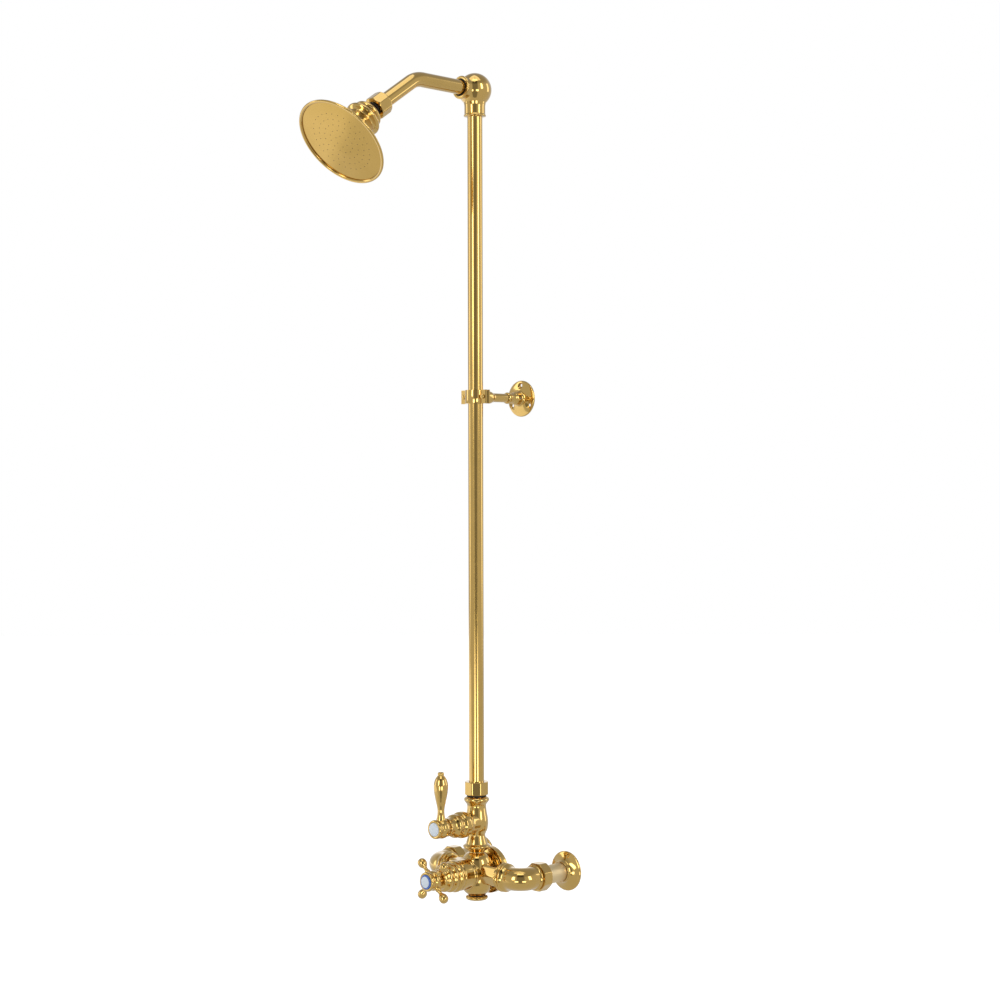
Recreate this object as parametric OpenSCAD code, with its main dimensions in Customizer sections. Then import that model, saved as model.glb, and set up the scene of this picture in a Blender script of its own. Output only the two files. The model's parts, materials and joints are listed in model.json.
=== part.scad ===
// Exposed thermostatic shower column: wall supplies, mixing valve, volume lever,
// riser tube, wall bracket, bent arm and swivel bell head. Millimetres, +Z up.
// The wall is the plane y = 0, the room is towards -Y.

/* [Column] */
// distance from the finished wall to the riser axis
wall_reach = 97; // [95:1:120]
// distance between the two wall supplies
inlet_spacing = 178; // [176:1:200]
// outside diameter of the riser tube
riser_od = 22.2; // [21.8:0.1:22.3]
// height of the ball elbow's centre above the supplies
ball_z = 1141; // [900:1:1400]
// height of the wall bracket above the supplies
bracket_z = 693; // [300:1:850]

/* [Arm and head] */
// riser axis to the corner of the arm
arm_reach = 117; // [90:1:200]
// slope of the arm's second leg below the horizontal, degrees
arm_drop = 34.5; // [20:0.5:50]
// corner of the arm to the centre of the ball joint
arm_tail = 109; // [100:1:160]
// outside diameter of the arm
arm_od = 21.3; // [21:0.1:21.4]
// extra droop of the head at its ball joint, degrees
head_tilt = 8.5; // [0:0.5:12]
// outside diameter of the head's rim
head_od = 138; // [120:1:180]

/* [Controls] */
// height of the volume control above the supplies
volume_z = 72.4; // [70:0.2:80]
// cross handle, axis to the centre of an end ball
cross_reach = 32; // [29:0.5:36]
// lever, axis to its tip
lever_height = 81.4; // [70:0.2:90]

/* [Wall plates] */
// diameter of the supply flanges
flange_od = 57.5; // [50:0.5:70]
// diameter of the bracket's wall flange
bracket_flange_od = 54; // [52:0.5:60]
// pitch circle of the bracket's screw holes
bracket_pcd = 40; // [39:0.5:42]
// diameter of the bracket's screw holes
bracket_hole = 4.6; // [4:0.1:5]

/* [Hidden] */
$fn = 48;
ry = -wall_reach;
sx = inlet_spacing / 2;
rr = riser_od / 2;
hr = head_od / 2;
ar = arm_od / 2;
bend_r = 42;
stem_r = 6.5;
elbow_r = 18;
// how far the unions sit out along the ports, and the elbow nuts off the wall
union_out = 8.4;
nut_out = 8;
fr = flange_od / 2;
br = bracket_flange_od / 2;

GOLD = [0.72, 0.53, 0.24];
PALE = [0.86, 0.76, 0.55];
WHITE = [0.86, 0.9, 0.93];
BLACK = [0.05, 0.05, 0.05];
STEEL = [0.7, 0.7, 0.7];

// smooth curve through [station, radius] keys
function cm(a, b, c, d, t) = 0.5 * (2 * b + (c - a) * t + (2 * a - 5 * b + 4 * c - d) * t * t
  + (3 * b - a - 3 * c + d) * t * t * t);
function smooth(k, n = 3) = concat([for (i = [0 : len(k) - 2]) for (j = [0 : n - 1])
  let (a = k[max(i - 1, 0)], b = k[i], c = k[i + 1], d = k[min(i + 2, len(k) - 1)], t = j / n)
  [max(0, cm(a[1], b[1], c[1], d[1], t)), cm(a[0], b[0], c[0], d[0], t)]], [[k[len(k) - 1][1],
    k[len(k) - 1][0]]]);
// solid of revolution about local z from keys
module lathe(k, n = 3) rotate_extrude() polygon(concat([[0, k[0][0]]],
  smooth(k, n), [[0, k[len(k) - 1][0]]]));
// solid of revolution from straight-edged [station, radius] points
module turn(k) rotate_extrude() polygon(concat([[0, k[0][0]]], [for (p = k) [p[1], p[0]]],
  [[0, k[len(k) - 1][0]]]));
// ring between two stations
module ring(z0, z1, ro, ri) rotate_extrude() translate([ri, z0]) square([ro - ri, z1 - z0]);
module rod(z0, z1, r) translate([0, 0, z0]) cylinder(h = z1 - z0, r = r);
// rounded bead at station z
module bead(z, r, w) rotate_extrude() translate([r - w / 2, z]) circle(d = w);
// prism with n sides, flats turned onto the axes, corners taken off at both ends
module nutblock(z0, z1, af, n, c = 1.2) intersection() {
  translate([0, 0, z0]) rotate([0, 0, 180 / n]) cylinder(h = z1 - z0, r = af / 2 / cos(180 / n), $fn = n);
  turn([[z0 - 0.01, af / 2 - 0.2], [z0 + c, af / 2 / cos(180 / n) + 0.2],
    [z1 - c, af / 2 / cos(180 / n) + 0.2],
    [z1 + 0.01, af / 2 - 0.2]]);
}
// placing frames
module up_riser() translate([0, ry, 0]) children();
module forward(z = 0) translate([0, ry, z]) rotate([90, 0, 0]) children();
module port(s, out = 0) translate([s * out, ry, 0]) rotate([0, 90 * s, 0]) children();
module to_wall(s, out = 0) translate([s * sx, -out, 0]) rotate([-90, 0, 0]) children();
module arm_end() translate([0, ry - arm_reach, ball_z]) rotate([90 + arm_drop, 0, 0]) children();
module head_frame() arm_end() translate([0, 0, arm_tail]) rotate([head_tilt, 0, 0]) children();
// coil spring as closed turns with short links
module coil(r, w, z0, n, pitch) for (i = [0 : n - 1]) translate([0, 0, z0 + i * pitch]) {
  rotate_extrude() translate([r, 0]) circle(r = w);
  if (i < n - 1) rotate([0, 0, i * 150]) translate([r, 0, 0]) cylinder(h = pitch, r = w * 0.8);
}

// ---- supplies ----
module nipple(s) color(PALE) to_wall(s) difference() {
  turn([[-59.4 - nut_out, 12.6], [-58.6 - nut_out, 13.35], [-1.4, 13.35], [-1.2, 12.6], [-0.2, 12.6],
    [0, 13.22], [11.4, 13.22],
    [12, 12.6]]);
  rod(-60 - nut_out, 13, 10.4);
}
module cold_nipple() nipple(1);
module hot_nipple() nipple(-1);

module wall_flange(s) color(GOLD) to_wall(s) rotate([180, 0, 0]) difference() {
  lathe([[0, fr - 0.15], [0.8, fr], [2, fr - 0.15], [2.9, fr - 1.3], [4.2, fr - 4.6], [6, fr - 8.2],
    [8.5, 16.9],
    [10.6, 15.7], [12.4, 15.4], [13.4, 15.1], [14, 14.5]]);
  turn([[-1, fr - 2.2], [1, fr - 2.8], [3.4, fr - 8], [6.5, 15], [6.6, 13.7], [15, 13.7]]);
}
module cold_flange() wall_flange(1);
module hot_flange() wall_flange(-1);

module elbow_nut(s) color(GOLD) to_wall(s, nut_out) difference() {
  nutblock(-58.4, -42.4, 39.4, 8, 1.6);
  rod(-59, -46.2, 17.5);
  turn([[-46.2, 17.5], [-44.4, 13.75], [-42, 13.75]]);
}
module cold_elbow_nut() elbow_nut(1);
module hot_elbow_nut() elbow_nut(-1);

module elbow_olives() color(PALE) for (s = [-1, 1]) to_wall(s, nut_out) difference() {
  turn([[-49.6, 13.9], [-47.6, 15.4], [-46.8, 15.4], [-45.4, 13.9]]);
  rod(-50, -45, 13.4);
}

module elbow(s) color(GOLD) difference() {
  union() {
    port(s, union_out) lathe([[52.3, 18.9], [52.9, 20], [54, 20.4], [55.3, 19.9], [57, 18.4], [59.5, 16.9],
      [sx - elbow_r - union_out, 16.25]]);
    elbow_bend(s, 16.25);
    to_wall(s, nut_out) {
      rod(ry + elbow_r + nut_out, -48.8, 16.25);
      rod(-60.4, -48.8, 17.4);
      bead(-61.6, 18.4, 4);
    }
  }
  port(s, union_out) {
    rod(50, 62, 11.05);
    rod(60, sx - elbow_r - union_out, 10);
  }
  elbow_bend(s, 10);
  to_wall(s, nut_out) {
    rod(ry + elbow_r + nut_out, -58, 10);
    rod(-60, -48, 13.45);
    turn([[-50.4, 13.45], [-48.7, 15.6], [-48, 15.6]]);
  }
}
module elbow_bend(s, r) translate([s * (sx - elbow_r), ry + elbow_r, 0]) rotate([0, 0, s > 0 ? -90 : 180])
  rotate_extrude(angle = 90) translate([elbow_r, 0]) circle(r = r);
module cold_elbow() elbow(1);
module hot_elbow() elbow(-1);

module union_tail(s) color(PALE) port(s, union_out) difference() {
  union() { rod(47.3, 49.4, 12.8); rod(49, 61.6, 11); }
  rod(47, 63, 8.8);
}
module cold_union_tail() union_tail(1);
module hot_union_tail() union_tail(-1);

module union_nut(s) color(GOLD) port(s, union_out) difference() {
  lathe([[41.9, 15.4], [42.2, 17.2], [43.2, 18.2], [44.3, 17.7], [45, 17.4], [45.8, 18.8], [47, 20.4],
    [48.4, 20.8],
    [49.8, 20.3], [50.9, 18.8], [51.6, 17]]);
  rod(41, 49.5, 13.3);
  rod(49, 53, 11.35);
}
module cold_union_nut() union_nut(1);
module hot_union_nut() union_nut(-1);

module union_washers() color(BLACK) for (s = [-1, 1]) port(s, union_out) ring(45.1, 47.2, 12.9, 8.2);

// non-return valves in the two inlets
module check_bodies() color([0.9, 0.9, 0.86]) for (s = [-1, 1]) port(s, union_out) difference() {
  rod(28, 44.8, 8.5);
  rod(30, 42.2, 6.4);
  rod(42, 46, 4.4);
  rod(27, 31, 1.35);
  for (a = [0 : 60 : 300]) rotate([0, 0, a]) translate([4, 0, 27]) cylinder(h = 4, r = 1.3);
}
module poppet(s) color(STEEL) port(s, union_out) {
  turn([[38.9, 4.2], [39.4, 5.6], [41.6, 5.6], [42.1, 5.2]]);
  rod(27.2, 39.2, 1.25);
}
module cold_poppet() poppet(1);
module hot_poppet() poppet(-1);
module check_spring(s) color(STEEL) port(s, union_out) coil(2.9, 0.35, 30.5, 5, 1.95);
module cold_check_spring() check_spring(1);
module hot_check_spring() check_spring(-1);

// ---- thermostatic valve ----
function ovoid(a, b, p, s, n = 14) = [for (i = [0 : n]) let (t = 90 * i / n)
  [s > 0 ? b * pow(sin(t), 2 / p) : -b * pow(cos(t), 2 / p),
   s > 0 ? a * pow(cos(t), 2 / p) : a * pow(sin(t), 2 / p)]];
module valve_body() color(GOLD) difference() {
  union() {
    up_riser() {
      rotate_extrude() polygon([for (p = concat([[-33, 0], [-33, 12.6]],
        [for (q = ovoid(22.8, 33, 3.6, -1)) if (q[1] > 13 && q[1] < 22.79) q],
        [for (q = ovoid(22.8, 30, 3, 1)) if (q[1] > 11.5) q],
        [[28.9, 11.2], [30.1, 11.2], [30.6, 9.6], [40, 9.6], [40, 0]])) [p[1], p[0]]]);
    }
    forward() rotate([0, 0, 70]) {
      rod(0, 20, 20.6);
      lathe([[19.6, 21.6], [20, 22.6], [21, 23.2], [22, 22.7]]);
      rod(-22, 0, 20);
      turn([[-30.6, 33.6], [-30.2, 34], [-22.2, 34], [-21.6, 33.4], [-21.5, 31.2], [-23, 30.4],
        [-23, 28], [-22.6, 26.5],
        [-21.4, 22]]);
    }
    for (s = [-1, 1]) port(s) {
      nutblock(4, 41.6 + union_out, 28, 6, 0.8);
      rod(40 + union_out, 45 + union_out, 13.2);
    }
  }
  forward() {
    rod(6, 24, 16.45);
    rod(-25.8, 7, 13);
    rod(-32, -25.6, 26);
  }
  for (s = [-1, 1]) port(s) {
    rod(24 + union_out, 46 + union_out, 8.6);
    rod(8, 25 + union_out, 5);
  }
  up_riser() { rod(0, 41, 6.5); rod(-34, -23, 9); rod(-24, 0, 5); }
}

module rear_cap() color(GOLD) forward() difference() {
  union() { rod(-31.4, -26, 25.9); turn([[-35, 29.5], [-34, 31], [-31.4, 31]]); }
  translate([0, 0, -36]) cylinder(h = 4, r = 9.8, $fn = 6);
  rod(-29, -25, 20);
}
module rear_cap_seal() color(BLACK) forward() ring(-31.35, -30.65, 30, 26.3);

module bottom_plug() color(GOLD) up_riser() difference() {
  union() {
    lathe([[-40.4, 9.5], [-40.2, 12.6], [-39.4, 14.8], [-37.9, 16.1], [-36.4, 16.3], [-35.2, 15.5],
      [-34.6, 14],
      [-34.4, 13]]);
    rod(-34.5, -24, 8.95);
  }
  translate([0, 0, -41]) cylinder(h = 6, r = 5.8, $fn = 6);
}
module plug_seal() color(BLACK) up_riser() ring(-34.3, -33.1, 12, 9.1);

module thermo_bonnet() color(GOLD) forward() difference() {
  union() {
    rod(7, 23, 16.4);
    lathe([[22.2, 21.8], [22.8, 22.9], [24.2, 23], [25.4, 22.3], [27, 22.2], [35, 22.2], [40.5, 22],
      [42.2, 21.2],
      [43, 21.1], [44.2, 22.3], [46.6, 22.8], [49.2, 22.2], [50.4, 20.6], [51.2, 19.6], [52.4, 19.6],
        [54, 20.8],
      [56.4, 21.3], [58.8, 20.7], [60, 19], [61, 17.8], [62.4, 17.8], [64.2, 18.9], [66.8, 19.3],
        [69.2, 18.7], [70.6, 17],
      [71.6, 15.2], [73, 14.2], [75, 13.4], [76, 11.2]], 2);
  }
  rod(6, 12, 13.1);
  rod(11, 46, 12);
  rod(45, 77, 6.05);
}
module thermo_spindle() color(PALE) forward() difference() {
  union() { rod(12, 42, 4); rod(41, 44.5, 9); rod(44, 92, 6); }
  rod(83, 93, 2.5);
}
module shuttle() color(STEEL) forward() difference() {
  union() {
    rod(-10, -4, 12.95);
    rod(-5, 5, 10.6);
    rod(4, 10, 12.95);
    rod(9, 16, 8);
  }
  rod(1, 17, 4.05);
  rod(-11, 0, 6);
  for (a = [45 : 90 : 315]) rotate([0, 0, a]) translate([9, 0, -11]) cylinder(h = 22, r = 1.2);
}
module wax_element() color([0.72, 0.45, 0.25]) forward() {
  rod(-22, -0.6, 5.9);
  rod(-12.2, -10.1, 7.5);
}
module return_spring() color(STEEL) forward() coil(9.6, 0.7, -28, 6, 2.95);

module cross_handle() color(GOLD) forward() difference() {
  union() {
    lathe([[77, 8.6], [77.6, 9.8], [79.2, 10.2], [81, 11.4], [83, 13], [85.4, 14], [87.8, 14.3],
      [90.4, 13.9],
      [92.4, 12.6], [93.6, 12.1], [94.8, 12.8], [96.6, 13.7], [99, 13.9], [100.8, 13.3], [101.4, 12.2]], 2);
    for (a = [45 : 90 : 315]) translate([0, 0, 87.6]) rotate([0, 0, a]) rotate([0, 90, 0])
      lathe([[8, 4.6], [13, 4.3], [15.2, 4], [16.6, 4.1], [17.8, 3.3], [20, 2.75], [cross_reach - 9, 2.8],
        [cross_reach - 6.8, 4.2], [cross_reach - 4, 5.9], [cross_reach - 0.5, 6.5], [cross_reach + 3, 5.8],
        [cross_reach + 5.4, 3.6], [cross_reach + 6.2, 1.4], [cross_reach + 6.3, 0]], 2);
  }
  rod(76, 93, 6.05);
  rod(92, 94.2, 3);
  rod(94, 103, 10.6);
}
module cross_screw() color(STEEL) forward() difference() {
  union() { rod(84, 94.4, 2.4); rod(94.2, 96.4, 4.6); }
  translate([-5, -0.5, 95.7]) cube([10, 1, 2]);
}
module cross_button() color(WHITE) forward() turn([[96.8, 9.6], [97, 10.4], [102, 10.4], [102.6, 10],
  [102.9, 9],
  [103.2, 7], [103.4, 4]]);

// ---- volume control ----
module outlet_tee() color(GOLD) difference() {
  union() {
    up_riser() {
      lathe([[30.9, 12.4], [32, 13.6], [34, 16.4], [36, 19], [37.7, 20], [39.3, 19.4], [40.6, 17.2],
        [41.6, 15.8],
        [44, 15.3], [48, 14], [52, 12.8], [55, 12.5], [58, 13.7], [62, 15.6], [68, 16.7], [73, 16.9],
          [80, 16.2],
        [88, 14.7], [96, 13.9], [99.4, 14.6], [102, 16.6], [105.2, 18.4], [107.6, 18], [109.6, 15.8],
          [110.3, 14.2]]);
      rod(108, 124.8, 13.2);
    }
    forward(volume_z) lathe([[0, 15.6], [14, 15.8], [20, 16.2], [22.6, 17.3], [24.2, 17.7], [25, 17.1]], 2);
  }
  up_riser() {
    rod(30, 41, 9.65);
    rod(40, volume_z - 4, 6.5);
    rod(volume_z + 4, 109, 7.5);
    rod(108.6, 126, rr + 0.1);
    turn([[121.8, rr + 0.1], [125, 12.9], [126, 12.9]]);
  }
  forward(volume_z) { for (s = [-1, 1]) translate([0, 6.4 * s, 0]) cylinder(h = 11, r = 2.9); rod(10, 26,
    12.5); }
}
module disc_fixed() color(WHITE) forward(volume_z) difference() {
  rod(10.05, 13.1, 12);
  for (s = [-1, 1]) translate([0, 6.4 * s, 9]) cylinder(h = 5, r = 2.9);
}
module disc_moving() color([0.8, 0.84, 0.86]) forward(volume_z) difference() {
  rod(13.15, 16.2, 9.4);
  translate([-9, -3, 12]) cube([18, 6, 2.9]);
}
module volume_spindle() color(PALE) forward(volume_z) difference() {
  union() { rod(16.25, 21.4, 9); rod(20, 77, 5); }
  rod(68, 78, 2.1);
}
module volume_bonnet() color(GOLD) forward(volume_z) difference() {
  union() {
    rod(13.2, 26, 12.45);
    lathe([[25.1, 16.8], [25.7, 17.9], [27, 18.9], [30.5, 19.1], [34.5, 18.9], [36.6, 17.9], [38, 16.4],
      [39.4, 15.7],
      [40.6, 15.8], [42.2, 16.6], [45, 17], [48, 16.4], [50, 14.8], [51.6, 13.6], [54, 12.9], [57, 12.4],
        [58.6, 12.8],
      [60.2, 13], [61.4, 12.2], [61.8, 10.8]], 2);
  }
  rod(12, 22, 9.7);
  rod(21, 63, 5.05);
}
module volume_lever() color(GOLD) difference() {
  union() {
    forward(volume_z) lathe([[62.2, 9.4], [62.8, 11.4], [64.6, 12.6], [67.6, 13.9], [71, 14.4],
      [74.6, 14], [77, 12.8],
      [78.4, 12.3], [79.6, 12.9], [81.6, 13.6], [83.8, 13.5], [85.2, 12.7], [85.6, 11.8]], 2);
    translate([0, ry - 71.5, volume_z]) lathe([[8, 8], [12, 6.9], [17, 5.7], [23.6, 5], [30, 5.4],
      [40, 7.5], [50, 9.5],
      [58, 10.3], [64, 10.2], [70, 8.6], [74, 6.2], [75.8, 4.7], [76.6, 4.4], [77.6, 4.7],
      [lever_height - 2.2, 4.6], [lever_height - 0.7, 3.4], [lever_height, 0]]);
  }
  forward(volume_z) { rod(61, 77.6, 5.05); rod(77, 79.2, 2.6); rod(79, 87, 10.1); }
}
module lever_screw() color(STEEL) forward(volume_z) difference() {
  union() { rod(69, 79.4, 2); rod(79.2, 81.2, 4.2); }
  translate([-5, -0.5, 80.6]) cube([10, 1, 2]);
}
module lever_button() color(WHITE) forward(volume_z) turn([[81.6, 9.2], [81.8, 9.8], [85.8, 9.8],
  [86.4, 9.4],
  [86.8, 8.2], [87, 6]]);

// ---- riser ----
module riser_seal() color(BLACK) up_riser() ring(110.5, 112.9, 14.2, 13.3);
module riser_olive() color(PALE) up_riser() difference() {
  turn([[123, rr + 0.6], [125, 12.6], [126, 12.6], [127.6, rr + 0.6]]);
  rod(122, 129, rr + 0.05);
}
module riser_nut() color(GOLD) up_riser() difference() {
  nutblock(113.1, 132, 33.7, 8, 1.4);
  rod(112, 126.4, 13.3);
  turn([[126.4, 13.3], [128.6, rr + 0.3], [133, rr + 0.3]]);
}
module riser() color(GOLD) up_riser() difference() {
  rod(109, ball_z - 17, rr);
  rod(108, ball_z - 16, rr - 1.4);
}

// ---- wall bracket ----
module clamp_half(s) difference() {
  union() {
    turn([[-10, 14.6], [-9.2, 15.4], [9.2, 15.4], [10, 14.6]]);
    for (t = [-1, 1]) translate([t > 0 ? 12 : -26, s > 0 ? 0.6 : -4.6, -10]) cube([14, 4, 20]);
  }
  rod(-11, 11, rr + 0.02);
  translate([-40, s > 0 ? -39.4 : -0.6, -11]) cube([80, 40, 22]);
  for (t = [-1, 1]) translate([19.4 * t, 0, 0]) rotate([90, 0, 0]) translate([0, 0, -8]) cylinder(h = 16,
    r = 2.1);
}
module clamp_front() color(GOLD) translate([0, ry, bracket_z]) clamp_half(-1);
module clamp_rear() color(GOLD) translate([0, ry, bracket_z]) difference() {
  union() {
    clamp_half(1);
    rotate([-90, 0, 0]) difference() {
      lathe([[12, 9.6], [18, 9.6], [24, 9.4], [28, 9.1], [30.4, 8.4], [32.6, 7.4], [35, 7.1]], 2);
      rod(-20, rr + 0.02, 9.7);
    }
  }
  rotate([-90, 0, 0]) rod(16.5, 36, 4.05);
}
module clamp_screws() color(GOLD) for (t = [-1, 1]) translate([19.4 * t, ry, bracket_z]) rotate([90, 0, 0])
  difference() {
    union() { rod(-4.4, 5, 2.05); turn([[4.7, 3.7], [6, 3.7], [7, 3], [7.5, 1.8]]); }
    translate([-5, -0.45, 6.7]) cube([10, 0.9, 2]);
  }
module bracket_stem() color(GOLD) translate([0, ry, bracket_z]) rotate([-90, 0, 0]) {
  rod(17, 37, 4);
  rod(35.2, wall_reach - 5, stem_r);
}
module bracket_flange() color(GOLD) translate([0, 0, bracket_z]) rotate([90, 0, 0]) difference() {
  lathe([[0, br - 0.2], [0.6, br], [1.8, br - 0.1], [2.6, br - 0.9], [3.6, br - 4], [4.6, br - 9],
    [5.6, 13.6], [6.8, 11],
    [8.6, 9.8], [12, 9.4], [15.4, 9.4], [17.4, 8.9], [19.4, 8], [22, 7.5], [28.4, 7.4], [29.6, 8.1],
      [31.4, 8.6],
    [33.2, 8.1], [34.2, 7.4]], 2);
  rod(4, 36, stem_r + 0.05);
  for (a = [90, 210, 330]) rotate([0, 0, a]) translate([bracket_pcd / 2, 0, 0]) {
    translate([0, 0, -1]) cylinder(h = 12, r = bracket_hole / 2);
    translate([0, 0, 1.8]) cylinder(h = 3.4, r1 = bracket_hole / 2, r2 = bracket_hole / 2 + 3.4);
  }
  translate([0, 0, 12.6]) rotate([0, 90, 0]) cylinder(h = 12, r = 2);
}
module stem_screw() color(STEEL) translate([0, 0, bracket_z]) rotate([90, 0, 0]) translate([0, 0, 12.6])
  rotate([0, 90, 0]) difference() { rod(stem_r + 0.1, 9.3, 1.95); translate([0, 0, 8]) cylinder(h = 2,
    r = 1.1, $fn = 6); }

// ---- ball elbow and arm ----
module ball_elbow() color(GOLD) difference() {
  union() {
    translate([0, ry, ball_z]) sphere(r = 24.6);
    translate([0, ry, ball_z]) lathe([[-39, 15.4], [-38.6, 16.1], [-37.4, 16.4], [-36.4, 16],
      [-35.6, 15.5], [-34, 15.4],
      [-21, 15.4], [-18, 15.8]], 2);
    forward(ball_z) lathe([[14, 15.2], [21, 14.8], [25.6, 14.6], [26.4, 15.2], [27.2, 16.4], [28.4, 16.8],
      [29.4, 16.3], [29.9, 15.2]], 2);
  }
  translate([0, ry, ball_z]) { rod(-40, -16.6, rr + 0.1); rod(-17, 0, 8.5); }
  translate([0, ry, ball_z]) sphere(r = 12);
  forward(ball_z) { rod(0, 14, 8.5); rod(13.4, 31, ar + 0.1); rod(27.4, 31, 12.7); }
}
module arm_seal() color(BLACK) forward(ball_z) ring(27.5, 28.9, 12.6, ar + 0.12);
module bent(r) {
  c = bend_r * tan(arm_drop / 2);
  forward(ball_z) rod(r < ar ? 12 : 14, arm_reach - c + 0.5, r);
  translate([0, ry - arm_reach + c, ball_z - bend_r]) rotate([0, 90, 0]) rotate([0, 0, 180])
    rotate_extrude(angle = arm_drop) translate([bend_r, 0]) circle(r = r + 0.02);
  arm_end() rod(c - 0.5, arm_tail - (r < ar ? 17 : 19), r);
}
module arm() color(GOLD) difference() { bent(ar); bent(ar - 2.4); }

module ball_stem() color(GOLD) arm_end() difference() {
  union() {
    nutblock(arm_tail - 35, arm_tail - 14, 32, 8, 2.4);
    rod(arm_tail - 15, arm_tail - 6, 6);
    translate([0, 0, arm_tail]) sphere(r = 11);
  }
  rod(arm_tail - 36, arm_tail - 18.6, ar + 0.1);
  rod(arm_tail - 19, arm_tail + 12, 3.6);
}
module joint_gasket() color(BLACK) arm_end() ring(arm_tail - 13.9, arm_tail - 11.9, 10.6, 6.1);

module head_collar() color(GOLD) head_frame() difference() {
  union() {
    lathe([[-6.8, 9.2], [-6.6, 11], [-5.8, 13.4], [-4.6, 15.4], [-3.4, 17.4], [-1.8, 19.8], [0.6, 21.3],
      [3, 21],
      [4.6, 19.4], [5.6, 18.4]], 2);
    rod(5, 12, 17);
  }
  rod(-8, 0, 8.9);
  sphere(r = 11.06);
  rod(0, 13, 11.06);
}
module ball_seat() color(BLACK) head_frame() difference() {
  rod(5.2, 13.4, 11);
  sphere(r = 11.08);
  rod(4, 14, 5.4);
}
BELL = [[5.8, 19], [7, 21.4], [9.4, 25], [12.4, 26.6], [15.2, 25.6], [17.2, 23], [18.6, 21.6],
  [20.4, 21.4], [23, 22.4],
  [28, 25.8], [34, 30.6], [40, 36], [46, 42.2], [51, 48.4], [56, 55.6], [60, 61.8], [62.8, hr - 3.4],
    [64.2, hr - 1.1],
  [65.2, hr - 0.2], [66.2, hr], [67.2, hr - 0.5], [67.8, hr - 1.8], [67.6, hr - 3.2], [66.8, hr - 4.2]];
module head_shell() color(GOLD) head_frame() difference() {
  lathe(BELL);
  rod(5, 13.6, 17.05);
  turn([[13.5, 15], [16, 15.6], [19, 18.8], [24, 21], [34, 28.6], [46, 40], [51, 46.2], [56, 53.2],
    [60, 59.4],
    [62.6, 62.4], [62.9, hr - 4.6], [70, hr - 4.6]]);
}
module plate_gasket() color(BLACK) head_frame() ring(63, 63.7, hr - 4.9, 61.4);
module spray_plate() color(GOLD) head_frame() difference() {
  rod(63.8, 65.2, hr - 4.7);
  for (k = [1 : 5]) for (i = [0 : 6 * k - 1]) rotate([0, 0, 60 * i / k + 7 * k]) translate([9.2 * k, 0, 63])
    cylinder(h = 3, r = 0.6, $fn = 16);
}

cold_nipple();
hot_nipple();
cold_flange();
hot_flange();
cold_elbow_nut();
hot_elbow_nut();
elbow_olives();
cold_elbow();
hot_elbow();
cold_union_tail();
hot_union_tail();
cold_union_nut();
hot_union_nut();
union_washers();
check_bodies();
cold_poppet();
hot_poppet();
cold_check_spring();
hot_check_spring();
valve_body();
rear_cap();
rear_cap_seal();
bottom_plug();
plug_seal();
thermo_bonnet();
thermo_spindle();
shuttle();
wax_element();
return_spring();
cross_handle();
cross_screw();
cross_button();
outlet_tee();
volume_bonnet();
disc_fixed();
disc_moving();
volume_spindle();
volume_lever();
lever_screw();
lever_button();
riser_seal();
riser_olive();
riser_nut();
riser();
clamp_front();
clamp_rear();
clamp_screws();
bracket_stem();
bracket_flange();
stem_screw();
ball_elbow();
arm_seal();
arm();
ball_stem();
joint_gasket();
head_collar();
ball_seat();
head_shell();
plate_gasket();
spray_plate();
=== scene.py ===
import json
import math

import bmesh
import bpy
from mathutils import Matrix, Vector


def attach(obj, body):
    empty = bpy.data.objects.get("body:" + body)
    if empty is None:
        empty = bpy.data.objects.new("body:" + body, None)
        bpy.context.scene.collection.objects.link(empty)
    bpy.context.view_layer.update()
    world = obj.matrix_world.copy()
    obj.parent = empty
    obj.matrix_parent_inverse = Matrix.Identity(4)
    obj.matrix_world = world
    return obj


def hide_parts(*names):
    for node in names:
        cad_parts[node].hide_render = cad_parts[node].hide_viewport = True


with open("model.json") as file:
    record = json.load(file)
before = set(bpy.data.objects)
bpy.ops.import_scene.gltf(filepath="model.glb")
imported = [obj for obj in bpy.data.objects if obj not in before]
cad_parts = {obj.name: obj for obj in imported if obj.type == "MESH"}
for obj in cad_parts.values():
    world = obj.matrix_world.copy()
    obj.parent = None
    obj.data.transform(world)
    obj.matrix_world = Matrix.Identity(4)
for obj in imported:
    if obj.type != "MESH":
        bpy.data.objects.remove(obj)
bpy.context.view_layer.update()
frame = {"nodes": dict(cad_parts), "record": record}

D = bpy.data
SCENE = bpy.context.scene
MM = 0.001

# ---------------------------------------------------------------- sizes in mm, the same as in the CAD
RISER_Y = -97.0
RISER_R = 11.1
SUPPLY_X = 89.0
BALL_Z = 1141.0
BRACKET_Z = 693.0
VOLUME_Z = 72.4
ARM_REACH = 117.0
ARM_DROP = 34.5
ARM_TAIL = 109.0
ARM_R = 10.65
BEND_R = 42.0
HEAD_TILT = 8.5
HEAD_R = 69.0
CROSS_REACH = 32.0
LEVER_H = 81.4
FLANGE_R = 28.75
BRACKET_R = 27.0
HOLE_CIRCLE = 40.0
HOLE_R = 2.3
STEM_R = 6.5
ELBOW_R = 18.0
ELBOW_TUBE_R = 16.25
UNION_OUT = 8.4
NUT_OUT = 8.0
SIDES = ((1, "cold"), (-1, "hot"))


# ---------------------------------------------------------------- material helpers
def new_material(name):
    material = D.materials.new(name)
    material.use_nodes = True
    tree = material.node_tree
    tree.nodes.clear()
    output = tree.nodes.new("ShaderNodeOutputMaterial")
    shader = tree.nodes.new("ShaderNodeBsdfPrincipled")
    tree.links.new(shader.outputs[0], output.inputs[0])
    return material, tree, shader


def object_coords(tree):
    return tree.nodes.new("ShaderNodeTexCoord").outputs["Object"]


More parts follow.
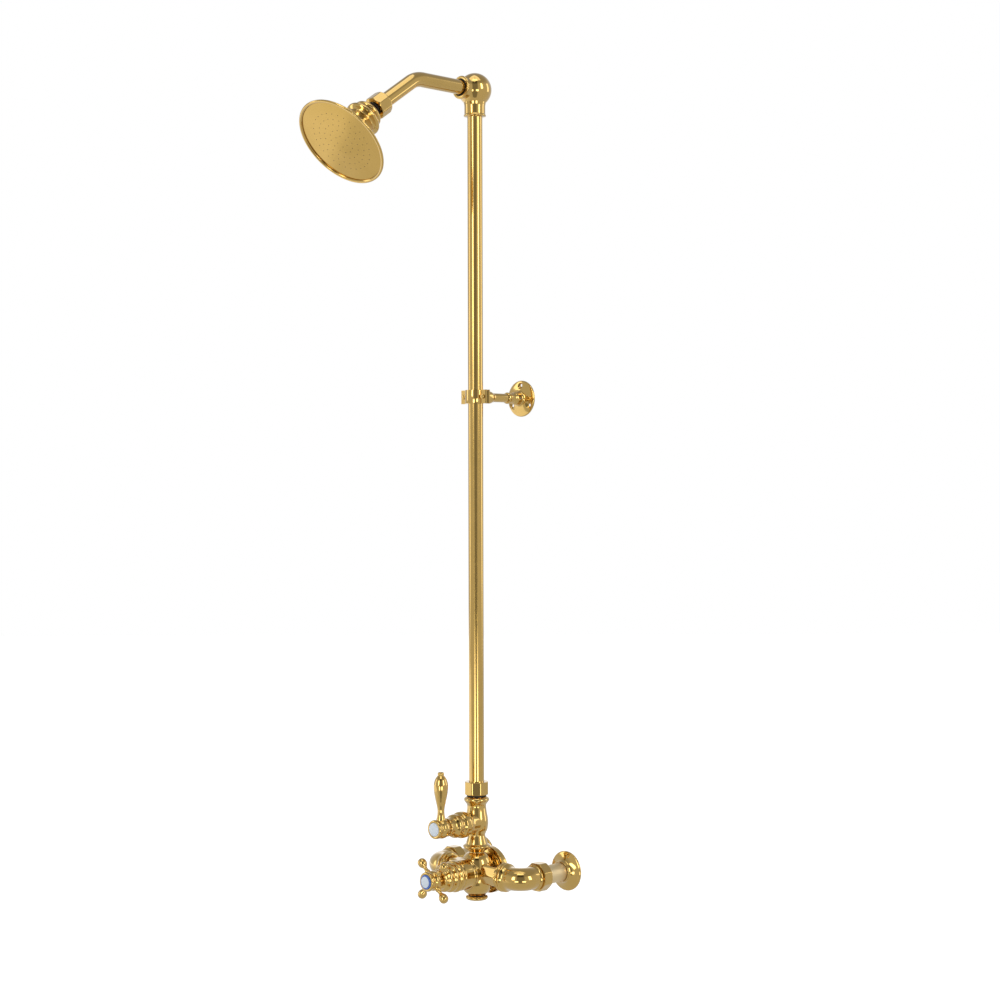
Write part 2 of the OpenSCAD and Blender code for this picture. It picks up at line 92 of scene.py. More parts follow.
def noise(tree, coords, scale, detail=4.0, roughness=0.6, distortion=0.0):
    node = tree.nodes.new("ShaderNodeTexNoise")
    node.inputs["Scale"].default_value = scale
    node.inputs["Detail"].default_value = detail
    node.inputs["Roughness"].default_value = roughness
    node.inputs["Distortion"].default_value = distortion
    tree.links.new(coords, node.inputs["Vector"])
    return node.outputs["Fac"]


def colour_ramp(tree, factor, low, high, dark, light):
    node = tree.nodes.new("ShaderNodeValToRGB")
    for element, position, colour in zip(node.color_ramp.elements, (low, high), (dark, light)):
        element.position = position
        element.color = (*colour, 1)
    tree.links.new(factor, node.inputs[0])
    return node.outputs[0]


def map_range(tree, value, from_min, from_max, to_min, to_max, smoothed=False):
    node = tree.nodes.new("ShaderNodeMapRange")
    if smoothed:
        node.interpolation_type = "SMOOTHSTEP"
    limits = {"From Min": from_min, "From Max": from_max, "To Min": to_min, "To Max": to_max}
    for socket, limit in limits.items():
        node.inputs[socket].default_value = limit
    tree.links.new(value, node.inputs[0])
    return node.outputs[0]


def arithmetic(tree, operation, *values):
    node = tree.nodes.new("ShaderNodeMath")
    node.operation = operation
    for socket, value in zip(node.inputs, values):
        if isinstance(value, (int, float)):
            socket.default_value = value
        else:
            tree.links.new(value, socket)
    return node.outputs[0]


def bump(tree, shader, height, depth):
    node = tree.nodes.new("ShaderNodeBump")
    node.inputs["Strength"].default_value = 1.0
    node.inputs["Distance"].default_value = depth
    tree.links.new(height, node.inputs["Height"])
    tree.links.new(node.outputs[0], shader.inputs["Normal"])


def metal(name, dark, light, smoothest, roughest, wave, wave_scale, grain=0.0, grain_scale=900, coat=0.0):
    """Metal with cloudy colour, uneven polish, a slow wave in its surface and, if asked, a fine grain."""
    material, tree, shader = new_material(name)
    coords = object_coords(tree)
    clouds = noise(tree, coords, 22, detail=3, roughness=0.55, distortion=0.4)
    tree.links.new(colour_ramp(tree, clouds, 0.32, 0.68, dark, light), shader.inputs["Base Color"])
    polish = map_range(tree, noise(tree, coords, 70), 0.3, 0.7, smoothest, roughest)
    tree.links.new(polish, shader.inputs["Roughness"])
    shader.inputs["Metallic"].default_value = 1.0
    shader.inputs["Coat Weight"].default_value = coat
    shader.inputs["Coat Roughness"].default_value = 0.04
    shader.inputs["Coat IOR"].default_value = 1.7
    height = noise(tree, coords, wave_scale, detail=2, roughness=0.4)
    if grain:
        height = arithmetic(tree, "MULTIPLY_ADD", noise(tree, coords, grain_scale, detail=3), grain, height)
    bump(tree, shader, height, wave)
    return material


def dielectric(name, dark, light, smoothest, roughest,
               coat=0.0, specular=0.5, bump_scale=300, depth=0.00002):
    """Glaze, ceramic, plastic or rubber with patchy colour and a fine surface."""
    material, tree, shader = new_material(name)
    coords = object_coords(tree)
    patches = noise(tree, coords, 40, distortion=0.3)
    tree.links.new(colour_ramp(tree, patches, 0.3, 0.7, dark, light), shader.inputs["Base Color"])
    polish = map_range(tree, noise(tree, coords, 180), 0.3, 0.7, smoothest, roughest)
    tree.links.new(polish, shader.inputs["Roughness"])
    shader.inputs["Specular IOR Level"].default_value = specular
    shader.inputs["Coat Weight"].default_value = coat
    shader.inputs["Coat Roughness"].default_value = 0.03
    bump(tree, shader, noise(tree, coords, bump_scale), depth)
    return material


# ---------------------------------------------------------------- materials
BRASS = metal("polished_brass", (0.645, 0.405, 0.075), (0.70, 0.44, 0.090), 0.075, 0.11,
              wave=0.000006, wave_scale=40, coat=1.0)
PLATE = metal("plate_brass", (0.56, 0.365, 0.10), (0.605, 0.395, 0.115), 0.09, 0.12,
              wave=0.000004, wave_scale=60, grain=0.1)
RAW = metal("raw_brass", (0.80, 0.62, 0.34), (0.88, 0.72, 0.44), 0.38, 0.5,
            wave=0.00001, wave_scale=300, grain=0.3, grain_scale=1500)
STEEL = metal("stainless", (0.50, 0.50, 0.50),
(0.62, 0.62, 0.61), 0.22, 0.36, wave=0.00003, wave_scale=300)
COPPER = metal("copper_element", (0.60, 0.30, 0.16), (0.72, 0.38, 0.22), 0.25, 0.4,
               wave=0.00004, wave_scale=200)
PORCELAIN = dielectric("porcelain", (0.66, 0.74, 0.82), (0.72, 0.79, 0.86), 0.06, 0.12,
                       coat=0.6, bump_scale=60, depth=0.000004)
BLUE = dielectric("blue_glaze", (0.05, 0.12, 0.42), (0.08, 0.18, 0.55), 0.1, 0.2, coat=0.5)
DISC = dielectric("disc_ceramic", (0.80, 0.80, 0.77), (0.88, 0.88, 0.85), 0.25, 0.35, depth=0.00001)
# black rubber for the seals; the spray plate's discs also use it as painted shade for their holes
RUBBER_AND_HOLE_SHADE = dielectric("black_rubber", (0.010, 0.010, 0.010), (0.022, 0.021, 0.020), 0.5, 0.7,
                    specular=0.35, bump_scale=700, depth=0.00006)
PLASTIC = dielectric("seat_plastic", (0.60, 0.60, 0.57), (0.70, 0.70, 0.67), 0.35, 0.5,
                     bump_scale=500, depth=0.00003)
SLOTS = {"polished_brass": BRASS, "raw_brass": RAW, "porcelain": PORCELAIN, "disc_ceramic": DISC,
         "black_rubber": RUBBER_AND_HOLE_SHADE, "seat_plastic": PLASTIC, "stainless": STEEL, "copper_element": COPPER}


# ---------------------------------------------------------------- outlines, as (station, radius) points
def curve_value(a, b, c, d, t):
    """Catmull-Rom curve from b to c, with a and d as the points beyond them."""
    quadratic = (2 * a - 5 * b + 4 * c - d) * t ** 2
    cubic = (3 * b - a - 3 * c + d) * t ** 3
    return 0.5 * (2 * b + (c - a) * t + quadratic + cubic)


def smooth(keys, steps=10):
    """Smooth outline through key points."""
    outline = []
    last = len(keys) - 1
    for i in range(last):
        around = (keys[max(i - 1, 0)], keys[i], keys[i + 1], keys[min(i + 2, last)])
        for j in range(steps):
            station, radius = (curve_value(*(key[axis] for key in around), j / steps) for axis in (0, 1))
            outline.append((station, max(0.0, radius)))
    return outline + [tuple(keys[-1])]


def fillet(points, radius=0.35, steps=4, closed=False):
    """Straight-edged outline with its corners rounded."""
    outline = []
    count = len(points)
    for i in range(count):
        if not closed and i in (0, count - 1):
            outline.append(tuple(points[i]))
            continue
        before, corner, after = Vector(points[i - 1]), Vector(points[i]), Vector(points[(i + 1) % count])
        back = before - corner
        ahead = after - corner
        angle = back.angle(ahead)
        if angle > math.radians(165):
            outline.append(tuple(corner))
            continue
        reach = min(radius / math.tan(angle / 2), back.length * 0.45, ahead.length * 0.45)
        start = corner + back.normalized() * reach
        end = corner + ahead.normalized() * reach
        for j in range(steps + 1):
            t = j / steps
            outline.append(tuple(start * (1 - t) ** 2 + corner * 2 * t * (1 - t) + end * t * t))
    return outline


def arc(radius, first, last, steps):
    """Arc about the origin, its angles in degrees from the plane of the centre."""
    angles = [math.radians(first + (last - first) * k / steps) for k in range(steps + 1)]
    return [(radius * math.sin(angle), radius * math.cos(angle)) for angle in angles]


# ---------------------------------------------------------------- mesh helpers
def circle_points(radius, count):
    """Points round a circle, as (x, y)."""
    angles = [2 * math.pi * i / count for i in range(count)]
    return [(radius * math.cos(angle), radius * math.sin(angle)) for angle in angles]


def add_ring(bm, points, station, place):
    return [bm.verts.new(place @ Vector((x, y, station))) for x, y in points]


def join_rings(bm, lower, upper, flipped=False):
    """Quads between two rings of the same count; returns the faces."""
    faces = []
    for i, corner in enumerate(lower):
        j = (i + 1) % len(lower)
        quad = [corner, lower[j], upper[j], upper[i]]
        faces.append(bm.faces.new(quad[::-1] if flipped else quad))
    return faces


def add_lathe(bm, outline, place, segments=96, closed=False):
    """Adds a solid of revolution about place's z axis and returns its faces."""
    rings = []
    for station, radius in outline:
        on_axis = radius < 1e-4
        points = [(0, 0)] if on_axis else circle_points(radius, segments)
        rings.append(add_ring(bm, points, station, place))
    pairs = list(zip(rings, rings[1:]))
    if closed:
        pairs.append((rings[-1], rings[0]))
    faces = []
    for lower, upper in pairs:
        if len(lower) == 1 and len(upper) == 1:
            continue
        if len(lower) > 1 and len(upper) > 1:
            faces += join_rings(bm, lower, upper)
            continue
        for i in range(segments):
            j = (i + 1) % segments
            if len(lower) == 1:
                faces.append(bm.faces.new([lower[0], upper[j], upper[i]]))
            else:
                faces.append(bm.faces.new([lower[i], lower[j], upper[0]]))
    if not closed and len(rings[0]) > 1:
        faces.append(bm.faces.new(rings[0][::-1]))
    if not closed and len(rings[-1]) > 1:
        faces.append(bm.faces.new(rings[-1]))
    return faces


def add_sweep(bm, path, radii, segments=96):
    """Adds a tube through points, with one radius for each."""
    rings = []
    start = (path[1] - path[0]).normalized()
    reference = Vector((0, 0, 1)) if abs(start.z) < 0.9 else Vector((1, 0, 0))
    across = reference.cross(start).normalized()
    last = len(path) - 1
    for i, (point, radius) in enumerate(zip(path, radii)):
        heading = (path[min(i + 1, last)] - path[max(i - 1, 0)]).normalized()
        across = (across - heading * across.dot(heading)).normalized()
        other = heading.cross(across)
        spots = [point + (across * x + other * y) * radius for x, y in circle_points(1, segments)]
        rings.append([bm.verts.new(spot) for spot in spots])
    for lower, upper in zip(rings, rings[1:]):
        join_rings(bm, lower, upper)
    bm.faces.new(rings[0][::-1])
    bm.faces.new(rings[-1])


def add_nut(bm, start, end, flats, count, place, chamfer, bore=0.0):
    """Adds a nut with its flats on the axes, cone chamfers at both ends and rounded corners."""
    chamfer_steps = 8
    bore_depth = 2.0
    corner_r = flats / 2 / math.cos(math.pi / count)
    end_r = flats / 2 - 0.2
    rise = corner_r + 0.2 - end_r
    shares = [k / chamfer_steps for k in range(chamfer_steps + 1)]
    rows = [(start + chamfer * share, end_r + rise * share) for share in shares]
    rows += [(end - chamfer * share, end_r + rise * share) for share in reversed(shares)]
    segments = count * 12
    flat_angle = 2 * math.pi / count
    rings = []
    for station, limit in rows:
        points = []
        for i in range(segments):
            angle = 2 * math.pi * i / segments
            off_flat = (angle + flat_angle / 2) % flat_angle - flat_angle / 2
            radius = min(flats / 2 / math.cos(off_flat), limit, corner_r - 0.25)
            points.append((radius * math.cos(angle), radius * math.sin(angle)))
        rings.append(add_ring(bm, points, station, place))
    for lower, upper in zip(rings, rings[1:]):
        join_rings(bm, lower, upper)
    for ring, station, inwards in ((rings[0], start, 1), (rings[-1], end, -1)):
        flipped = inwards > 0
        if bore:
            mouth = add_ring(bm, circle_points(bore, segments), station, place)
            deep = add_ring(bm, circle_points(bore, segments), station + inwards * bore_depth, place)
            join_rings(bm, ring, mouth, flipped)
            join_rings(bm, mouth, deep, flipped)
        else:
            bm.faces.new(ring[::-1] if flipped else ring)


def add_slab(bm, outline, half_height, edge=0.7, inset=0.97):
    """Adds an upright slab about the bracket's height, a little smaller at both ends."""
    centre_x = sum(x for x, y in outline) / len(outline)
    centre_y = sum(y for x, y in outline) / len(outline)
    rings = []
    levels = ((-half_height, inset), (edge - half_height, 1), (half_height - edge, 1),
              (half_height, inset))
    for height, scale in levels:
        points = [(centre_x + (x - centre_x) * scale, centre_y + (y - centre_y) * scale)
                  for x, y in outline]
        rings.append(add_ring(bm, points, BRACKET_Z + height, RISER))
    for lower, upper in zip(rings, rings[1:]):
        join_rings(bm, lower, upper)
    bm.faces.new(rings[0][::-1])
    bm.faces.new(rings[-1])


def smooth_shading(mesh, sharp):
    mesh.polygons.foreach_set("use_smooth", [True] * len(mesh.polygons))
    mesh.set_sharp_from_angle(angle=math.radians(sharp))


def to_object(name, bm):
    """Turns a bmesh in millimetres into an object in metres."""
    bmesh.ops.scale(bm, vec=(MM, MM, MM), verts=bm.verts)
    bmesh.ops.recalc_face_normals(bm, faces=bm.faces)
    mesh = D.meshes.new(name)
    bm.to_mesh(mesh)
    bm.free()
    piece = D.objects.new(name, mesh)
    SCENE.collection.objects.link(piece)
    return piece


def finish_piece(name, bm, materials, body, nodes=(), sharp=38):
    """Makes the piece, hangs it on the empty of the body it rides on and hides the CAD nodes it stands for.
    """
    piece = to_object(name, bm)
    for material in materials:
        piece.data.materials.append(material)
    smooth_shading(piece.data, sharp)
    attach(piece, body)
    if nodes:
        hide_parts(*nodes)
    return piece


def brass_piece(node, bm, body="column", sharp=38):
    """Polished brass piece that stands for one CAD node."""
    return finish_piece(node + "_v", bm, [BRASS], body, [node], sharp)


# ---------------------------------------------------------------- places
def shift(x, y, z):
    return Matrix.Translation((x, y, z))


def spin(degrees, axis):
    return Matrix.Rotation(math.radians(degrees), 4, axis)


def forward(height=0):
    """From the riser's axis into the room."""
    return shift(0, RISER_Y, height) @ spin(90, "X")


def port(side, out=0):
    """Along one of the valve's side ports, away from the riser."""
    return shift(side * out, RISER_Y, 0) @ spin(90 * side, "Y")


def to_wall(side, out=0):
    """Along a supply towards the wall, from a point that far off it."""
    return shift(side * SUPPLY_X, -out, 0) @ spin(-90, "X")


RISER = shift(0, RISER_Y, 0)
VALVE = forward()
VOLUME = forward(VOLUME_Z)
BALL = shift(0, RISER_Y, BALL_Z)
ARM_END = shift(0, RISER_Y - ARM_REACH, BALL_Z) @ spin(90 + ARM_DROP, "X")
HEAD = ARM_END @ shift(0, 0, ARM_TAIL) @ spin(HEAD_TILT, "X")
STEM = shift(0, RISER_Y, BRACKET_Z) @ spin(-90, "X")
BRACKET = shift(0, 0, BRACKET_Z) @ spin(90, "X")


# ---------------------------------------------------------------- supplies
def nipple(side, name):
    bm = bmesh.new()
    inner_end = -58 - NUT_OUT
    outline = [(inner_end, 10.4), (inner_end, 13.35), (-1.4, 13.35), (-1.2, 12.6), (-0.2, 12.6),
               (0, 13.22), (11.4, 13.22), (12, 12.6), (12, 10.4)]
    add_lathe(bm, fillet(outline, 0.15, 3, True), to_wall(side), 96, True)
    finish_piece(name + "_nipple_v", bm, [RAW], "column", [name + "_nipple"])


def wall_flange(side, name):
    bm = bmesh.new()
    outer = smooth([(0, FLANGE_R - 0.15), (0.8, FLANGE_R), (2, FLANGE_R - 0.15), (2.9, FLANGE_R - 1.3),
                    (4.2, FLANGE_R - 4.6), (6, FLANGE_R - 8.2), (8.5, 16.9), (10.6, 15.7), (12.4, 15.4),
                    (13.4, 15.1), (14, 14.5)])
    inner = [(13.6, 13.75), (6.6, 13.75), (6.5, 15), (3.4, FLANGE_R - 8), (1, FLANGE_R - 2.8),
             (0, FLANGE_R - 2.4)]
    add_lathe(bm, outer + inner, to_wall(side) @ spin(180, "X"), 128, True)
    brass_piece(name + "_flange", bm)


def elbow_nut(side, name):
    bm = bmesh.new()
    add_nut(bm, -58.4, -42.4, 39.4, 8, to_wall(side, NUT_OUT), 1.6, 13.8)
    brass_piece(name + "_elbow_nut", bm, sharp=30)


def elbow(side, name):
    """One swept casting: a bell at the union, a quarter bend, and a bead at the nut."""
    bm = bmesh.new()
    bell = smooth([(52.3, 18.9), (52.9, 20), (54, 20.4), (55.3, 19.9), (57, 18.4), (59.5, 16.9),
                   (SUPPLY_X - ELBOW_R - UNION_OUT, ELBOW_TUBE_R)], 6)
    path = [Vector((side * (station + UNION_OUT), RISER_Y, 0)) for station, radius in bell]
    radii = [radius for station, radius in bell]
    bend_steps = 36
    for k in range(1, bend_steps + 1):
        angle = math.radians(90 * k / bend_steps)
        x = SUPPLY_X - ELBOW_R + ELBOW_R * math.sin(angle)
        path.append(Vector((side * x, RISER_Y + ELBOW_R - ELBOW_R * math.cos(angle), 0)))
        radii.append(ELBOW_TUBE_R)
    bead = smooth([(-64.2, ELBOW_TUBE_R), (-63.6, 16.9), (-62.8, 17.9), (-61.6, 18.4), (-60.4, 17.9),
                   (-59.4, 17.1), (-58.6, 16.8), (-50, 16.8)], 6)
    for station, radius in [(-70, ELBOW_TUBE_R), (-66, ELBOW_TUBE_R)] + bead:
        path.append(Vector((side * SUPPLY_X, station - NUT_OUT, 0)))
        radii.append(radius)
    add_sweep(bm, path, radii)
    brass_piece(name + "_elbow", bm)


def union_nut(side, name):
    bm = bmesh.new()
    outline = smooth([(41.9, 15.4), (42.2, 17.2), (43.2, 18.2), (44.3, 17.7), (45, 17.4), (45.8, 18.8),
                      (47, 20.4), (48.4, 20.8), (49.8, 20.3), (50.9, 18.8), (51.6, 17)])
    add_lathe(bm, outline, port(side, UNION_OUT), 128)
    brass_piece(name + "_union_nut", bm)


for side, name in SIDES:
    for make in (nipple, wall_flange, elbow_nut, elbow, union_nut):
        make(side, name)


# ---------------------------------------------------------------- valve body
def ovoid(radius, height, power, upper, steps=48):
    """Quarter of a rounded barrel above or below the ports."""
    outline = []
    for i in range(steps + 1):
        angle = math.radians(90 * i / steps)
        rising = math.sin(angle) ** (2 / power)
        falling = math.cos(angle) ** (2 / power)
        point = (height * rising, radius * falling) if upper else (-height * falling, radius * rising)
        outline.append(point)
    return outline


def valve_body():
    bm = bmesh.new()
    barrel_r = 22.8
    lower = [(z, r) for z, r in ovoid(barrel_r, 33, 3.6, False) if 13 < r < barrel_r - 0.01]
    upper = [(z, r) for z, r in ovoid(barrel_r, 30, 3, True) if r > 11.5]
    neck = fillet([(28.6, 11.5), (28.9, 11.2), (30.1, 11.2), (30.6, 9.6), (40, 9.6)], 0.3)
    add_lathe(bm, [(-33, 0), (-33, 12.4)] + lower + upper + neck + [(40, 0)], RISER, 128)
    collar = smooth([(19.6, 21.4), (20, 22.4), (21, 23.2), (22, 22.7)], 6)
    add_lathe(bm, [(0, 0), (0, 20.6), (19.0, 20.6)] + collar + [(22, 0)], VALVE, 128)
    add_lathe(bm, [(-26, 0), (-26, 20), (0, 20), (0, 0)], VALVE, 128)
    drum = [(-30.6, 0), (-30.6, 34), (-21.6, 34), (-21.5, 31.2), (-23, 30.6), (-23, 27.6), (-22.4, 26.4),
            (-21.4, 21.6), (-21.4, 0)]
    add_lathe(bm, fillet(drum, 0.7, 5), VALVE, 160)
    for side, name in SIDES:
        add_nut(bm, 4, 41.6 + UNION_OUT, 28, 6, port(side), 0.8)
        add_lathe(bm, [(40, 0), (40, 13.2), (45, 13.2), (45, 0)], port(side, UNION_OUT), 64)
    brass_piece("valve_body", bm, sharp=32)


def bottom_plug():
    bm = bmesh.new()
    head = smooth([(-40.4, 9.5), (-40.2, 12.6), (-39.4, 14.8), (-37.9, 16.1), (-36.4, 16.3),
                   (-35.2, 15.5), (-34.6, 14), (-34.4, 13)])
    key_socket = [(-36, 0), (-39.6, 5.6), (-40.4, 6.2)]
    add_lathe(bm, key_socket + head + [(-34.4, 9), (-26, 9), (-26, 0)], RISER, 128)
    brass_piece("bottom_plug", bm)


# ---------------------------------------------------------------- thermostat
def thermo_bonnet():
    bm = bmesh.new()
    beads = smooth([(22.2, 21.8), (22.8, 22.9), (24.2, 23), (25.4, 22.3), (27, 22.2), (35, 22.2),
                    (40.5, 22), (42.2, 21.2), (43, 21.1), (44.2, 22.3), (46.6, 22.8), (49.2, 22.2),
                    (50.4, 20.6), (51.2, 19.6), (52.4, 19.6), (54, 20.8), (56.4, 21.3), (58.8, 20.7),
                    (60, 19), (61, 17.8), (62.4, 17.8), (64.2, 18.9), (66.8, 19.3), (69.2, 18.7),
                    (70.6, 17), (71.6, 15.2), (73, 14.2), (75, 13.4), (76, 11.2)])
    add_lathe(bm, [(14, 0), (14, 16.2), (22.2, 16.2)] + beads + [(76, 6.1), (70, 6.1),
                   (70, 0)], VALVE, 128)
    brass_piece("thermo_bonnet", bm)


def cross_handle():
    bm = bmesh.new()
    hub = smooth([(77, 8.6), (77.6, 9.8), (79.2, 10.2), (81, 11.4), (83, 13), (85.4, 14), (87.8, 14.3),
                  (90.4, 13.9), (92.4, 12.6), (93.6, 12.1), (94.8, 12.8), (96.6, 13.7), (99, 13.9),
                  (100.8, 13.3), (101.4, 12.2)])
    seat = fillet([(101.4, 12), (101.3, 10.7), (96, 10.6)], 0.3)
    add_lathe(bm, [(76, 6.05)] + hub + seat + [(96, 0)], VALVE, 128)
    arm_station = 87.6
    arm = smooth([(8, 4.6), (13, 4.3), (15.2, 4), (16.6, 4.1), (17.8, 3.3), (20, 2.75),
                  (CROSS_REACH - 9, 2.8), (CROSS_REACH - 6.8, 4.2), (CROSS_REACH - 4, 5.9),
                  (CROSS_REACH - 0.5, 6.5), (CROSS_REACH + 3, 5.8), (CROSS_REACH + 5.4, 3.6),
                  (CROSS_REACH + 6.2, 1.4), (CROSS_REACH + 6.3, 0)])
    for angle in (45, 135, 225, 315):
        add_lathe(bm, arm, VALVE @ shift(0, 0, arm_station) @ spin(angle, "Z") @ spin(90, "Y"), 64)
    brass_piece("cross_handle", bm, "temperature_handle")


def button(node, place, top, radius, body, ringed):
    """Domed porcelain button, its rim in blue glaze if ringed."""
    bm = bmesh.new()
    line_width = 2.3
    side_wall = [(top - 6, 0), (top - 6, radius - 0.4), (top - 5.4, radius)]
    edge = smooth([(top - 1.5, radius), (top - 0.9, radius - 0.35), (top - 0.55, radius - 1.0)], 5)
    dome_steps = 8
    dome = []
    for k in range(dome_steps, -1, -1):
        share = k / dome_steps
        dome.append((top - 0.5 + 0.5 * (1 - share ** 2), (radius - 1.4) * share))
    faces = add_lathe(bm, side_wall + edge + dome, place, 96)
    if ringed:
        to_local = place.inverted()
        for face in faces:
            centre = to_local @ face.calc_center_median()
            off_axis = math.hypot(centre.x, centre.y)
            if off_axis > radius - line_width:
                face.material_index = 1
    finish_piece(node + "_v", bm, [PORCELAIN, BLUE], body, [node], 50)


# ---------------------------------------------------------------- outlet tee and volume control
def outlet_tee():
    bm = bmesh.new()
    column = smooth([(30.9, 12.4), (32, 13.6), (34, 16.4), (36, 19), (37.7, 20), (39.3, 19.4),
                     (40.6, 17.2), (41.6, 15.8), (44, 15.3), (48, 14), (52, 12.8), (55, 12.5),
                     (58, 13.7), (62, 15.6), (68, 16.7), (73, 16.9), (80, 16.2), (88, 14.7), (96, 13.9),
                     (99.4, 14.6), (102, 16.6), (105.2, 18.4), (107.6, 18), (109.6, 15.8), (110.3, 14.2)])
    spigot = [(110.3, 13.2), (124.8, 13.2), (124.8, 11.3)]
    add_lathe(bm, [(30.9, 9.7)] + column + spigot, RISER, 128)
    branch = smooth([(0, 15.6), (14, 15.8), (20, 16.2), (22.6, 17.3), (24.2, 17.7), (25, 17.1)])
    add_lathe(bm, [(0, 0)] + branch + [(25, 0)], VOLUME, 128)
    brass_piece("outlet_tee", bm)


def volume_bonnet():
    bm = bmesh.new()
    beads = smooth([(25.1, 16.8), (25.7, 17.9), (27, 18.9), (30.5, 19.1), (34.5, 18.9), (36.6, 17.9),
                    (38, 16.4), (39.4, 15.7), (40.6, 15.8), (42.2, 16.6), (45, 17), (48, 16.4),
                    (50, 14.8), (51.6, 13.6), (54, 12.9), (57, 12.4), (58.6, 12.8), (60.2, 13),
                    (61.4, 12.2), (61.8, 10.8)])
    add_lathe(bm, [(25.1, 0)] + beads + [(61.8, 5.1), (56, 5.1), (56, 0)], VOLUME, 128)
    brass_piece("volume_bonnet", bm)


def volume_lever():
    bm = bmesh.new()
    hub = smooth([(62.2, 9.4), (62.8, 11.4), (64.6, 12.6), (67.6, 13.9), (71, 14.4), (74.6, 14),
                  (77, 12.8), (78.4, 12.3), (79.6, 12.9), (81.6, 13.6), (83.8, 13.5), (85.2, 12.7),
                  (85.6, 11.8)])
    seat = fillet([(85.6, 11.7), (85.4, 10.2), (81, 10.1)], 0.3)
    add_lathe(bm, [(62.2, 5.1)] + hub + seat + [(81, 0)], VOLUME, 128)
    lever_station = 71.5
    lever = smooth([(8, 8), (12, 6.9), (17, 5.7), (23.6, 5), (30, 5.4), (40, 7.5), (50, 9.5), (58, 10.3),
                    (64, 10.2), (70, 8.6), (74, 6.2), (75.8, 4.7), (76.6, 4.4), (77.6, 4.7),
                    (LEVER_H - 2.2, 4.6), (LEVER_H - 0.7, 3.4), (LEVER_H, 0)])
    add_lathe(bm, lever, shift(0, RISER_Y - lever_station, VOLUME_Z), 96)
    brass_piece("volume_lever", bm, "flow_lever")


valve_body()
bottom_plug()
thermo_bonnet()
cross_handle()
button("cross_button", VALVE, 103.4, 10.4, "temperature_handle", True)
button("lever_button", VOLUME, 87.0, 9.8, "flow_lever", False)
outlet_tee()
volume_bonnet()
volume_lever()


# ---------------------------------------------------------------- riser and its nut
def riser_nut():
    bm = bmesh.new()
    add_nut(bm, 113.1, 132, 33.7, 8, RISER, 1.4, RISER_R + 0.3)
    brass_piece("riser_nut", bm, sharp=30)


def riser_seal():
    bm = bmesh.new()
    outline = fillet([(110.5, 13.3), (110.5, 14.2), (112.9, 14.2), (112.9, 13.3)], 0.4, 4, True)
    add_lathe(bm, outline, RISER, 96, True)
    finish_piece("riser_seal_v", bm, [RUBBER_AND_HOLE_SHADE], "column", ["riser_seal"])


def riser():
    bm = bmesh.new()
    bottom = 109
    top = BALL_Z - 17
    wall = 1.4
    steps = 40
    outer = [(bottom + (top - bottom) * k / steps, RISER_R) for k in range(steps + 1)]
    add_lathe(bm, outer + [(top, RISER_R - wall), (bottom, RISER_R - wall)], RISER, 128, True)
    brass_piece("riser", bm)


# ---------------------------------------------------------------- wall bracket
def clamp(node, side, boss=()):
    """Half of the riser clamp, with an ear on each side; side is 1 for the half next to the wall."""
    bm = bmesh.new()
    half_height = 10
    steps = 32
    angles = [math.radians(4 + 172 * k / steps) * side for k in range(steps + 1)]
    outer = [(15.4 * math.cos(angle), 15.4 * math.sin(angle)) for angle in angles]
    inner_r = RISER_R + 0.05
    inner = [(inner_r * math.cos(angle), inner_r * math.sin(angle)) for angle in reversed(angles)]
    add_slab(bm, outer + inner, half_height)
    near, far = (0.6, 4.6) if side > 0 else (-4.6, -0.6)
    for t in (-1, 1):
        ear = [(t * 13.2, near), (t * 25.2, near), (t * 26, near + 0.8), (t * 26, far - 0.8),
               (t * 25.2, far), (t * 13.2, far)]
        add_slab(bm, ear, half_height)
    if boss:
        add_lathe(bm, boss, STEM, 96)
    brass_piece(node, bm, sharp=30)


def clamp_screws():
    bm = bmesh.new()
    head = fillet([(4.7, 3.5), (4.7, 3.7), (6, 3.7), (7, 3), (7.5, 1.8)], 0.3)
    screw = [(-4.4, 0), (-4.4, 2.05), (4.7, 2.05)] + head + [(7.5, 0)]
    for x in (-19.4, 19.4):
        add_lathe(bm, screw, shift(x, RISER_Y, BRACKET_Z) @ spin(90, "X"), 48)
    brass_piece("clamp_screws", bm)


def bracket_stem():
    bm = bmesh.new()
    add_lathe(bm, fillet([(35.2, 0), (35.2, STEM_R), (92, STEM_R), (92, 0)], 0.3), STEM, 96)
    brass_piece("bracket_stem", bm)


